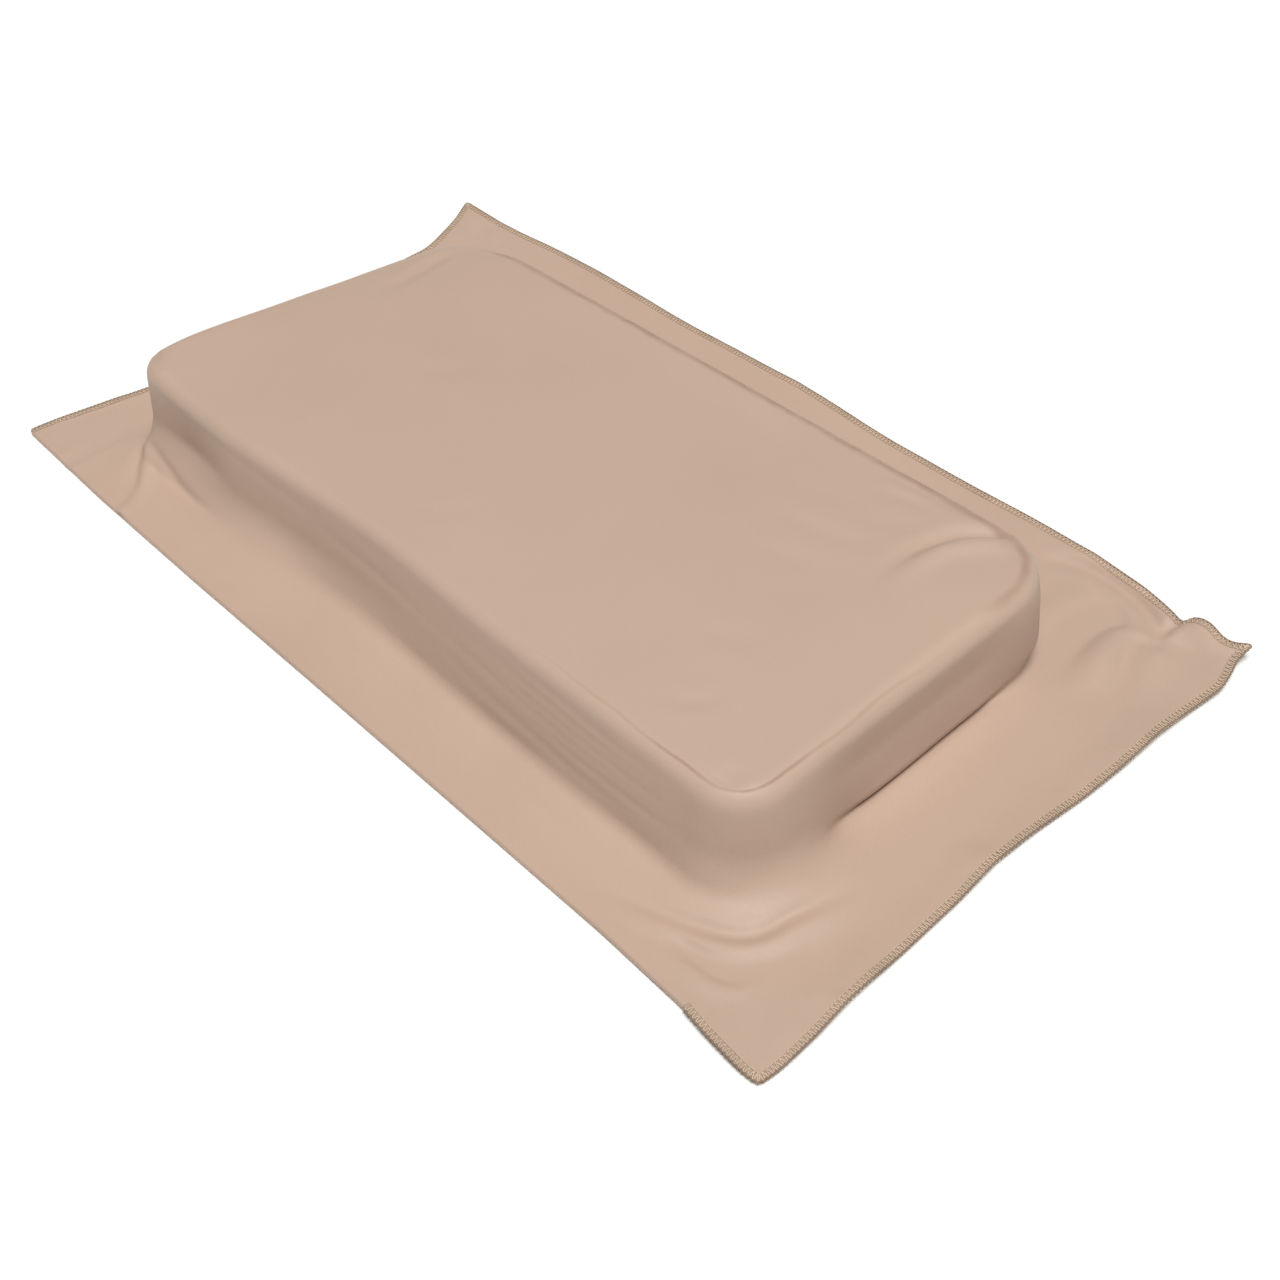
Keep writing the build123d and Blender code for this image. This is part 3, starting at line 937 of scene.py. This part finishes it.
def edge_line():
    """The overlocked edge from the front left corner round to the front: places, outward and up directions."""
    normals = surface_normals(cover_points, grid_shape).reshape(*grid_shape, 3)
    grid = cover_points.reshape(*grid_shape, 3)
    nx, ny = grid_shape
    runs = (
        [(0, j) for j in range(ny)]
        + [(i, ny - 1) for i in range(1, nx)]
        + [(nx - 1, j) for j in range(ny - 2, -1, -1)]
        + [(i, 0) for i in range(nx - 2, 0, -1)]
    )
    places = np.array([grid[i, j] for i, j in runs])
    ups = np.array([normals[min(max(i, 1), nx - 2), min(max(j, 1), ny - 2)] for i, j in runs])
    steps = np.concatenate([[0], np.cumsum(norm(np.diff(places, axis=0), axis=1))])
    corner = steps[ny + nx - 2 + ny - 1]
    spacing = 0.5
    at = np.arange(0, corner + overlock_front_run, spacing)

    def even(values, soften):
        kernel = np.exp(-((np.arange(-12, 13) / soften) ** 2))
        wide = np.pad(values, ((12, 12), (0, 0)), mode="edge")
        return np.column_stack([np.convolve(v, kernel / kernel.sum(), mode="valid") for v in wide.T])

    places, ups = (np.column_stack([np.interp(at, steps, v) for v in values.T]) for values in (places, ups))
    places, ups = even(places, 2.0), even(ups, 6.0)
    ahead = even(np.gradient(places, axis=0), 5.0)
    outward = np.cross(ahead, ups)
    for v in (outward, ups):
        v /= norm(v, axis=1)[:, None]
    return at, places, -outward, ups


edge_at, edge_places, edge_out, edge_up = edge_line()


def on_edge(s, out, up):
    """Points beside the edge: how far along it, out from it, and over the cover's face."""
    lines = edge_places, edge_out, edge_up
    place, outward, over = (np.column_stack([np.interp(s, edge_at, v) for v in values.T]) for values in lines)
    return place + outward * np.asarray(out)[:, None] + over * np.asarray(up)[:, None]


def stitched(shape, steps=2):
    """A thread that repeats a stitch: shape is (share of the stitch, out, up) for each point."""
    start, end = 1.0, edge_at[-1] - 1
    count = int((end - start) / stitch)
    places = [(start + (k + share) * stitch, out, up) for k in range(count) for share, out, up in shape]
    return on_edge(*smooth_path(places, steps).T)


under_face = -flange_top
upper_looper = [(0.0, -3.2, 0.34), (0.1, -1.6, 0.4), (0.2, 0.05, 0.16)]
upper_looper += [(0.3, 0.24, -0.8), (0.5, 0.05, 0.12), (0.75, -1.6, 0.42)]
edge_purl = [(0.0, 0.3, 0.22), (0.5, 0.62, -0.22)]
just_under = under_face - 0.05
lower_looper = [(0.5, -3.2, just_under), (0.6, -1.6, just_under), (0.7, 0.05, under_face + 0.05)]
lower_looper += [(0.8, 0.32, -1.1), (1.0, 0.05, under_face + 0.05), (1.25, -1.6, just_under)]
upper_needle = [(0.0, -3.4, -0.35), (0.2, -3.4, 0.28), (0.8, -3.4, 0.28)]
lower_needle = [(0.0, -3.4, -1.4), (0.2, -3.4, under_face), (0.8, -3.4, under_face)]
looper = tube_mesh("overlock_loopers", [stitched(upper_looper), stitched(lower_looper)], 0.28)
purl = tube_mesh("overlock_purl", [stitched(edge_purl, 3)], 0.45)
needle = tube_mesh("overlock_needle", [stitched(upper_needle, 3), stitched(lower_needle, 3)], 0.2)


def thread_material(name, tone):
    n = Nodes(name)
    ply = n.noise(2600, 2, 0.6)
    cloud = n.noise(60, 3, 0.6)
    base = n.clouded(cloud, tone, 0.85, 1.12)
    base = n.mix(n.span(ply, 0.35, 0.65, 0.0, 0.35), base, shade(tone, 0.6))
    rough = n.span(ply, 0.3, 0.7, 0.55, 0.75)
    n.set(color=base, roughness=rough, specular=0.3, sheen=0.25, sheen_roughness=0.4)
    n.relief([(ply, 0.00008, 0.6)])
    return n.material


overlock_thread = thread_material("overlock_thread", (0.68, 0.53, 0.39))
# The purl thread's dark brown is partly the thread's own colour and partly painted shade along the cover's edge.
purl_thread_edge_shade = thread_material("overlock_purl_thread", (0.27, 0.185, 0.135))
zip_thread = thread_material("zip_thread", (0.36, 0.26, 0.20))
finish_piece(looper, overlock_thread, "overlock_looper_thread")
finish_piece(purl, purl_thread_edge_shade, "overlock_looper_thread")
finish_piece(needle, overlock_thread, "overlock_needle_thread")

# ---- The zip
coil_pitch = 1.27
coil_wire = 0.23


def coil(name, node):
    low, high = box_mm(node)
    turns = int((high[0] - low[0] - 2 * coil_wire) / coil_pitch)
    points_a_turn = 12
    t = np.arange(turns * points_a_turn) / points_a_turn
    angle = 2 * math.pi * t
    middle = (low + high) / 2
    half = (high - low) / 2 - coil_wire
    y, z = middle[1] + half[1] * np.cos(angle), middle[2] + half[2] * np.sin(angle)
    return tube_mesh(name, [np.column_stack([low[0] + coil_wire + t * coil_pitch, y, z])], coil_wire)


def coil_material():
    n = Nodes("zip_coil_nylon")
    cloud = n.noise(900, 3, 0.6)
    n.set(
        color=n.clouded(cloud, (0.40, 0.29, 0.22), 0.8, 1.1),
        roughness=n.span(cloud, 0.3, 0.7, 0.28, 0.42),
        specular=0.5,
        subsurface=0.08,
        subsurface_scale=0.0004,
    )
    n.relief([(cloud, 0.00003, 0.5)])
    return n.material


nylon = coil_material()
for side in ("front", "rear"):
    finish_piece(coil("coil_" + side, "zip_coil_" + side), nylon, "zip_coil_" + side)

stitching_low, stitching_high = box_mm("zip_stitching")
thread_inset = 0.25
row_offset = (stitching_high[1] - stitching_low[1]) / 2 - thread_inset
zip_stitch = 2.8
zip_lockstitch = ((0.0, -0.45), (0.2, 0.0), (0.8, 0.0))  # (share of the stitch, how far out of the cloth)
rows = []
for side in (-1, 1):
    count = int((stitching_high[0] - stitching_low[0] - 2) / zip_stitch)
    y = zip_y + side * row_offset
    for level, away in ((stitching_high[2] - 0.2, 1), (stitching_low[2] + 0.2, -1)):
        points = [
            (stitching_low[0] + 1 + (k + share) * zip_stitch, y, level + away * out)
            for k in range(count)
            for share, out in zip_lockstitch
        ]
        rows.append(smooth_path(points, 3))
finish_piece(tube_mesh("zip_stitch_rows", rows, 0.19), zip_thread, "zip_stitching")


def tape_material():
    n = Nodes("zip_tape_weave")
    tone = (0.36, 0.26, 0.20)
    ribs = n.wave(420, "X")
    picks = n.wave(560, "Y")
    weave = n.math("MULTIPLY", ribs, picks)
    cloud = n.noise(120, 3, 0.6)
    base = n.mix(n.span(weave, 0.0, 0.7), shade(tone, 0.62), shade(tone, 1.08))
    base = n.mix(n.span(cloud, 0.3, 0.7, 0.0, 0.25), base, shade(tone, 0.8))
    n.set(color=base, roughness=0.78, specular=0.25, sheen=0.2, sheen_roughness=0.4)
    n.relief([(weave, 0.0002, 0.6)])
    return n.material


def metal_material():
    n = Nodes("zip_nickel")
    streaks = n.noise(500, 3, 0.6, at=n.stretch(0.15, 1.0, 1.0))
    spots = n.noise(240, 4, 0.6)
    base = n.mix(n.span(spots, 0.4, 0.75), (0.62, 0.60, 0.57), (0.47, 0.45, 0.42))
    n.set(color=base, metallic=1.0, roughness=n.span(streaks, 0.3, 0.7, 0.24, 0.42), anisotropic=0.3)
    n.relief([(streaks, 0.00002, 0.5), (spots, 0.00004, 0.3)])
    return n.material


for nodes, material in (
    (("zip_tape_front", "zip_tape_rear"), tape_material()),
    (("zip_top_stops", "zip_bottom_stop", "zip_slider", "zip_pull_tab"), metal_material()),
):
    for node in nodes:
        for place in bpy.data.objects[node].material_slots:
            place.material = material

# ---- The foam core


def block_grid(low, high, spacing=4.0):
    """The points and the faces of a box cut into small squares."""
    counts = [max(int(round((b - a) / spacing)), 4) for a, b in zip(low, high)]
    lines = [np.linspace(a, b, c + 1) for a, b, c in zip(low, high, counts)]
    numbers, faces = {}, []
    for axis in range(3):
        a, b = [k for k in range(3) if k != axis]
        for end in (0, counts[axis]):
            turned = (end == 0) == (axis != 1)
            for i in range(counts[a]):
                for j in range(counts[b]):
                    quad = []
                    for di, dj in ((0, 0), (1, 0), (1, 1), (0, 1)):
                        key = [0, 0, 0]
                        key[axis], key[a], key[b] = end, i + di, j + dj
                        quad.append(numbers.setdefault(tuple(key), len(numbers)))
                    faces.append(quad[::-1] if turned else quad)
    return np.array([[line[k] for line, k in zip(lines, key)] for key in numbers]), faces


def foam_block(name, low, high, edge_top, edge_bottom, rebate=None):
    """A softly rounded block, crowned like the cover over it. rebate is cut into its underside at the front:
    (how far back in y, how high)."""
    p, faces = block_grid(low, high)
    # Round the plan's corners, then the top and bottom edges.
    at_back_right = (p[:, 0] > pad_x) & (p[:, 1] > pad_y)
    corner = np.where(at_back_right, back_right_radius, front_right_radius)
    inner = np.clip(p[:, :2], np.array(low[:2]) + corner[:, None], np.array(high[:2]) - corner[:, None])
    q = p[:, :2] - inner
    length = norm(q, axis=1)
    corner_share = np.where(length > 1e-9, np.abs(q).max(axis=1) / np.maximum(length, 1e-9), 1)
    p[:, :2] = inner + q * corner_share[:, None]
    from_inner = norm(p[:, :2] - inner, axis=1)
    reach = corner - np.minimum(from_inner, corner)
    direction = (p[:, :2] - inner) / np.maximum(from_inner, 1e-9)[:, None]
    for radius, level, way in ((edge_top, high[2], -1), (edge_bottom, low[2], 1)):
        depth = (p[:, 2] - level) * way
        near = (depth < radius) & (reach < radius)
        a, b = radius - depth[near], radius - reach[near]
        grow = np.maximum(a, b) / np.maximum(np.hypot(a, b), 1e-9)
        a2, b2 = a * grow, b * grow
        p[near, 2] = level + way * (radius - a2)
        p[near, :2] -= direction[near] * ((radius - b2) - reach[near])[:, None]
    swell = 1.2 * crown(p[:, 0], p[:, 1]) - 1.15 * sunk(p[:, 0], p[:, 1])
    p[:, 2] += np.clip(p[:, 2] / comfort_high[2], 0, 1) ** 1.5 * swell
    if rebate:
        far, height = rebate
        near = (p[:, 1] < far) & (p[:, 2] < height)
        p[near, 2] = np.maximum(p[near, 2], height * smooth(far - p[near, 1], 0, 6))
    return mesh_piece(name, p, faces)


def foam_material(name, tone, cell):
    n = Nodes(name)
    cells = n.cells(cell, "F1")
    walls = n.cells(cell)
    cloud = n.noise(14, 3, 0.6)
    base = n.clouded(cloud, tone, 0.95, 1.0)
    base = n.mix(n.span(walls, 0.0, 0.12, 0.0, 0.35), base, shade(tone, 0.7))
    n.set(color=base, roughness=0.93, specular=0.12, subsurface=0.12, subsurface_scale=0.002)
    n.relief([(cells, 0.0006, 0.7), (walls, 0.0002, 0.5)])
    return n.material


side_gap = np.array([1.2, 1.2, 0.0])
top_gap = (0, 0, 1.6)
comfort = foam_block("comfort_pad", comfort_low + side_gap, comfort_high - side_gap - top_gap, 16, 1.5)
comfort_foam = foam_material("comfort_foam_cells", (0.80, 0.70, 0.42), 900)
finish_piece(comfort, comfort_foam, "comfort_foam")
support_floor, support_top = support_low + side_gap + (0, 0, 0.2), support_high - side_gap - (0, 0, 0.3)
over_zip = (support_low[1] + 42, 9.3)
support = foam_block("support_pad", support_floor, support_top, 1.5, 3.0, rebate=over_zip)
support_foam = foam_material("support_foam_cells", (0.74, 0.72, 0.64), 700)
finish_piece(support, support_foam, "support_foam")
